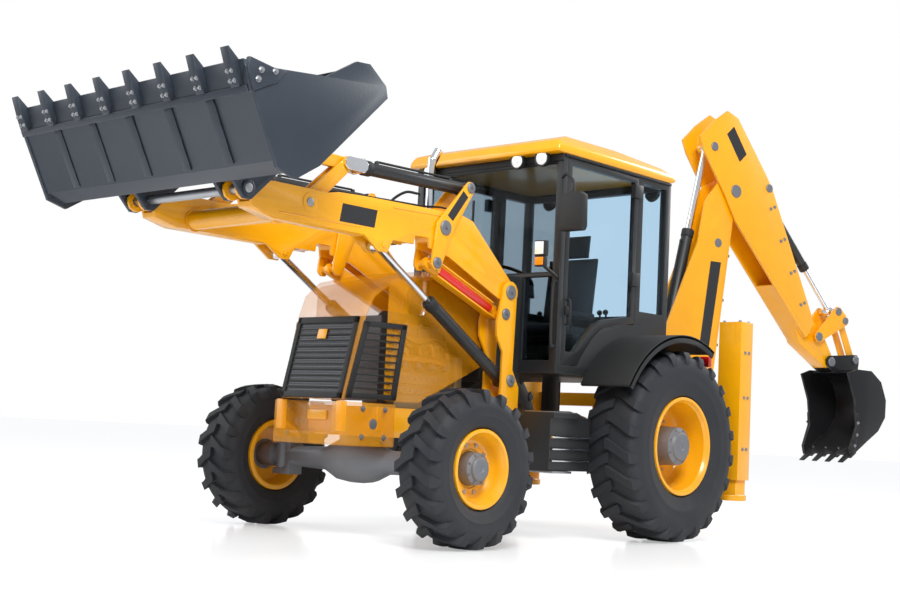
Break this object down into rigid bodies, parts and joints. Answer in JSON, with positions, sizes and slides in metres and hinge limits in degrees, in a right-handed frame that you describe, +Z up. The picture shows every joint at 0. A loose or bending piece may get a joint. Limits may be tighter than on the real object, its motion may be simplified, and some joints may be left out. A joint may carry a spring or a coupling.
{
  "type": "backhoe loader",
  "caption": "Backhoe loader with a front shovel on twin lift arms, a glazed cab and a slewing digging arm with stabilisers.",
  "frame": {"origin": "centre of the footprint at ground level", "axes": "+Z up; the machine faces -Y; its left side is +X"},
  "size_m": [2.36, 8.1288, 3.69],
  "materials": {
    "yellow_paint": "semi-gloss",
    "black_paint": "satin",
    "bucket_steel": "satin",
    "rubber": "matt",
    "chrome": "polished",
    "cast_iron": "as cast",
    "seat_cloth": "matt"
  },
  "bodies": {
    "chassis": {"chassis_frame": "yellow_paint", "front_axle": "cast_iron", "rear_axle": "cast_iron", "powertrain": "cast_iron", "front_weight": "yellow_paint", "fuel_tanks": "black_paint", "cab_frame": "black_paint", "cab_roof": "yellow_paint", "cab_interior": "seat_cloth", "fender_left": "black_paint", "fender_right": "black_paint", "rear_frame": "yellow_paint"},
    "hood_lid": {"hood": "yellow_paint"},
    "left_door": {"door_left": "black_paint"},
    "right_door": {"door_right": "black_paint"},
    "left_stabiliser": {"stabiliser_leg_left": "yellow_paint"},
    "right_stabiliser": {"stabiliser_leg_right": "yellow_paint"},
    "left_knuckle": {"knuckle_left": "cast_iron"},
    "right_knuckle": {"knuckle_right": "cast_iron"},
    "front_left_wheel": {"front_tyre_left": "rubber", "front_rim_left": "yellow_paint"},
    "front_right_wheel": {"front_tyre_right": "rubber", "front_rim_right": "yellow_paint"},
    "rear_left_wheel": {"rear_tyre_left": "rubber", "rear_rim_left": "yellow_paint"},
    "rear_right_wheel": {"rear_tyre_right": "rubber", "rear_rim_right": "yellow_paint"},
    "lift_arms": {"loader_arms": "yellow_paint"},
    "levelling_levers": {"levelling_lever_left": "yellow_paint", "levelling_lever_right": "yellow_paint"},
    "levelling_links": {"levelling_link_left": "yellow_paint", "levelling_link_right": "yellow_paint"},
    "lift_barrels": {"lift_barrel_left": "black_paint", "lift_barrel_right": "black_paint"},
    "lift_rods": {"lift_rod_left": "chrome", "lift_rod_right": "chrome"},
    "bucket_ram_barrels": {"bucket_ram_barrel_left": "black_paint", "bucket_ram_barrel_right": "black_paint"},
    "bucket_ram_rods": {"bucket_ram_rod_left": "chrome", "bucket_ram_rod_right": "chrome"},
    "hinge_shaft": {"bucket_hinge_shaft": "chrome"},
    "shovel": {"loader_bucket": "bucket_steel"},
    "lever_shaft": {"tipping_lever_shaft": "chrome"},
    "tipping_levers": {"tipping_lever_left": "yellow_paint", "tipping_lever_right": "yellow_paint"},
    "link_shaft": {"bucket_link_shaft": "chrome"},
    "tipping_links": {"tipping_link_left": "yellow_paint", "tipping_link_right": "yellow_paint"},
    "slew_post": {"kingpost": "yellow_paint"},
    "digger_boom": {"boom": "yellow_paint"},
    "boom_barrel": {"boom_ram_barrel": "black_paint"},
    "boom_rod": {"boom_ram_rod": "chrome"},
    "digger_dipper": {"dipper": "yellow_paint"},
    "dipper_barrel": {"dipper_ram_barrel": "black_paint"},
    "dipper_rod": {"dipper_ram_rod": "chrome"},
    "digger_bucket": {"backhoe_bucket": "bucket_steel"},
    "bucket_crank": {"bell_crank": "yellow_paint"},
    "bucket_link": {"crank_link": "yellow_paint"},
    "crowd_barrel": {"crowd_ram_barrel": "black_paint"},
    "crowd_rod": {"crowd_ram_rod": "chrome"}
  },
  "joints": [
    {"name": "lift", "type": "hinge", "parent": "chassis", "child": "lift_arms", "pos_m": [0, -1.09158, 1.707], "axis": [-1, 0, 0], "range_deg": [-46, 38]},
    {"name": "levelling_lever_turn", "type": "hinge", "parent": "lift_arms", "child": "levelling_levers", "pos_m": [0, -1.78458, 2.064], "axis": [-1, 0, 0], "range_deg": [-24, 29]},
    {"name": "levelling_link_turn", "type": "hinge", "parent": "chassis", "child": "levelling_links", "pos_m": [0, -1.13458, 1.551], "axis": [-1, 0, 0], "range_deg": [-48, 40]},
    {"name": "lift_barrel_turn", "type": "hinge", "parent": "chassis", "child": "lift_barrels", "pos_m": [0, -1.05358, 1.095], "axis": [-1, 0, 0], "range_deg": [-40, 32]},
    {"name": "lift_ram", "type": "slide", "parent": "lift_barrels", "child": "lift_rods", "axis": [0, -0.8514, 0.5246], "range_m": [-0.43, 0.36]},
    {"name": "hinge_shaft_turn", "type": "hinge", "parent": "lift_arms", "child": "hinge_shaft", "pos_m": [0, -3.45958, 2.059], "axis": [-1, 0, 0], "range_deg": [-24, 29]},
    {"name": "tilt", "type": "hinge", "parent": "hinge_shaft", "child": "shovel", "pos_m": [0, -3.45958, 2.059], "axis": [1, 0, 0], "range_deg": [-0.3, 103]},
    {"name": "lever_shaft_turn", "type": "hinge", "parent": "lift_arms", "child": "lever_shaft", "pos_m": [0, -2.95858, 2.056], "axis": [-1, 0, 0], "range_deg": [-24, 29]},
    {"name": "tipping_lever_turn", "type": "hinge", "parent": "lever_shaft", "child": "tipping_levers", "pos_m": [0, -2.95858, 2.056], "axis": [1, 0, 0], "range_deg": [-4, 105]},
    {"name": "link_shaft_turn", "type": "hinge", "parent": "shovel", "child": "link_shaft", "pos_m": [0, -3.13858, 2.355], "axis": [1, 0, 0], "range_deg": [-105, 4]},
    {"name": "tipping_link_turn", "type": "hinge", "parent": "link_shaft", "child": "tipping_links", "pos_m": [0, -3.13858, 2.355], "axis": [-1, 0, 0], "range_deg": [-29, 24]},
    {"name": "bucket_ram_turn", "type": "hinge", "parent": "levelling_levers", "child": "bucket_ram_barrels", "pos_m": [0, -1.55358, 2.368], "axis": [-1, 0, 0], "range_deg": [-34, 28]},
    {"name": "bucket_ram", "type": "slide", "parent": "bucket_ram_barrels", "child": "bucket_ram_rods", "axis": [0, -0.9999, -0.0148], "range_m": [-0.03, 0.72]},
    {"name": "steering", "type": "hinge", "parent": "chassis", "child": "left_knuckle", "pos_m": [0.755, -1.92358, 0.5], "axis": [0, 0, 1], "range_deg": [-35, 35]},
    {"name": "steering_right", "type": "hinge", "parent": "chassis", "child": "right_knuckle", "pos_m": [-0.755, -1.92358, 0.5], "axis": [0, 0, 1], "range_deg": [-36, 36]},
    {"name": "front_left_spin", "type": "hinge", "parent": "left_knuckle", "child": "front_left_wheel", "pos_m": [0.975, -1.92358, 0.5], "axis": [1, 0, 0], "continuous": true},
    {"name": "front_right_spin", "type": "hinge", "parent": "right_knuckle", "child": "front_right_wheel", "pos_m": [-0.975, -1.92358, 0.5], "axis": [1, 0, 0], "continuous": true},
    {"name": "rear_left_spin", "type": "hinge", "parent": "chassis", "child": "rear_left_wheel", "pos_m": [0.96, 0.24642, 0.7], "axis": [1, 0, 0], "continuous": true},
    {"name": "rear_right_spin", "type": "hinge", "parent": "chassis", "child": "rear_right_wheel", "pos_m": [-0.96, 0.24642, 0.7], "axis": [1, 0, 0], "continuous": true},
    {"name": "left_door_swing", "type": "hinge", "parent": "chassis", "child": "left_door", "pos_m": [0.728, 0.17642, 1.9], "axis": [0, 0, 1], "range_deg": [0, 95]},
    {"name": "right_door_swing", "type": "hinge", "parent": "chassis", "child": "right_door", "pos_m": [-0.728, 0.17642, 1.9], "axis": [0, 0, -1], "range_deg": [0, 95]},
    {"name": "hood_lift", "type": "hinge", "parent": "chassis", "child": "hood_lid", "pos_m": [0, -1.15358, 1.846], "axis": [-1, 0, 0], "range_deg": [0, 40]},
    {"name": "left_stabiliser_drop", "type": "slide", "parent": "chassis", "child": "left_stabiliser", "axis": [0, 0, -1], "range_m": [0, 0.4]},
    {"name": "right_stabiliser_drop", "type": "slide", "parent": "chassis", "child": "right_stabiliser", "axis": [0, 0, -1], "range_m": [0, 0.4]},
    {"name": "slew", "type": "hinge", "parent": "chassis", "child": "slew_post", "pos_m": [0, 1.60642, 0.8], "axis": [0, 0, 1], "range_deg": [-74, 106]},
    {"name": "boom", "type": "hinge", "parent": "slew_post", "child": "digger_boom", "pos_m": [0.09647, 1.94286, 0.9], "axis": [0.9613, -0.2756, 0], "range_deg": [-105, 10]},
    {"name": "boom_ram_turn", "type": "hinge", "parent": "slew_post", "child": "boom_barrel", "pos_m": [0.03308, 1.72177, 1.18], "axis": [0.9613, -0.2756, 0], "range_deg": [-101, 11]},
    {"name": "boom_ram", "type": "slide", "parent": "boom_barrel", "child": "boom_rod", "axis": [0.0799, 0.2788, 0.957], "range_m": [-0.07, 0.66]},
    {"name": "dipper", "type": "hinge", "parent": "digger_boom", "child": "digger_dipper", "pos_m": [0.18964, 2.26777, 2.981], "axis": [0.9613, -0.2756, 0], "range_deg": [-36, 79]},
    {"name": "dipper_ram_turn", "type": "hinge", "parent": "digger_boom", "child": "dipper_barrel", "pos_m": [0.01103, 1.64487, 1.6], "axis": [0.9613, -0.2756, 0], "range_deg": [-5, 9]},
    {"name": "dipper_ram", "type": "slide", "parent": "dipper_barrel", "child": "dipper_rod", "axis": [0.0586, 0.2043, 0.9772], "range_m": [-0.55, 0.26]},
    {"name": "dig_bucket", "type": "hinge", "parent": "digger_dipper", "child": "digger_bucket", "pos_m": [0.5386, 3.48473, 1.545], "axis": [-0.9613, 0.2756, 0], "range_deg": [-57, 108]},
    {"name": "crank_turn", "type": "hinge", "parent": "digger_dipper", "child": "bucket_crank", "pos_m": [0.48622, 3.30208, 1.765], "axis": [-0.9613, 0.2756, 0], "range_deg": [-40, 72]},
    {"name": "crank_link_turn", "type": "hinge", "parent": "digger_bucket", "child": "bucket_link", "pos_m": [0.62432, 3.78368, 1.583], "axis": [-0.9613, 0.2756, 0], "range_deg": [-62, 33]},
    {"name": "crowd_ram_turn", "type": "hinge", "parent": "digger_dipper", "child": "crowd_barrel", "pos_m": [0.29962, 2.65131, 3.061], "axis": [-0.9613, 0.2756, 0], "range_deg": [-4, 6]},
    {"name": "crowd_ram", "type": "slide", "parent": "crowd_barrel", "child": "crowd_rod", "axis": [0.1824, 0.6362, -0.7496], "range_m": [-0.22, 0.38]}
  ],
  "couplings": [
    {"joint": "levelling_lever_turn", "follows": "lift", "ratio": -0.61},
    {"joint": "levelling_link_turn", "follows": "lift", "ratio": 1.004},
    {"joint": "lift_barrel_turn", "follows": "lift", "ratio": 0.7775},
    {"joint": "lift_ram", "follows": "lift", "m_per_rad": 0.5105},
    {"joint": "hinge_shaft_turn", "follows": "lift", "ratio": -0.61},
    {"joint": "lever_shaft_turn", "follows": "lift", "ratio": -0.61},
    {"joint": "tipping_lever_turn", "follows": "tilt", "ratio": 1},
    {"joint": "link_shaft_turn", "follows": "tilt", "ratio": -1},
    {"joint": "tipping_link_turn", "follows": "lift", "ratio": 0.61},
    {"joint": "bucket_ram_turn", "follows": "lift", "ratio": 0.5},
    {"joint": "bucket_ram", "follows": "tilt", "m_per_rad": 0.365},
    {"joint": "steering_right", "follows": "steering", "ratio": 1},
    {"joint": "boom_ram_turn", "follows": "boom", "ratio": 0.9533},
    {"joint": "boom_ram", "follows": "boom", "m_per_rad": -0.2932},
    {"joint": "dipper_ram_turn", "follows": "dipper", "ratio": 0.0958},
    {"joint": "dipper_ram", "follows": "dipper", "m_per_rad": -0.3807},
    {"joint": "crank_turn", "follows": "dig_bucket", "ratio": 0.62},
    {"joint": "crank_link_turn", "follows": "dig_bucket", "ratio": -0.49},
    {"joint": "crowd_ram_turn", "follows": "dig_bucket", "ratio": 0.0329},
    {"joint": "crowd_ram", "follows": "dig_bucket", "m_per_rad": 0.1926}
  ]
}
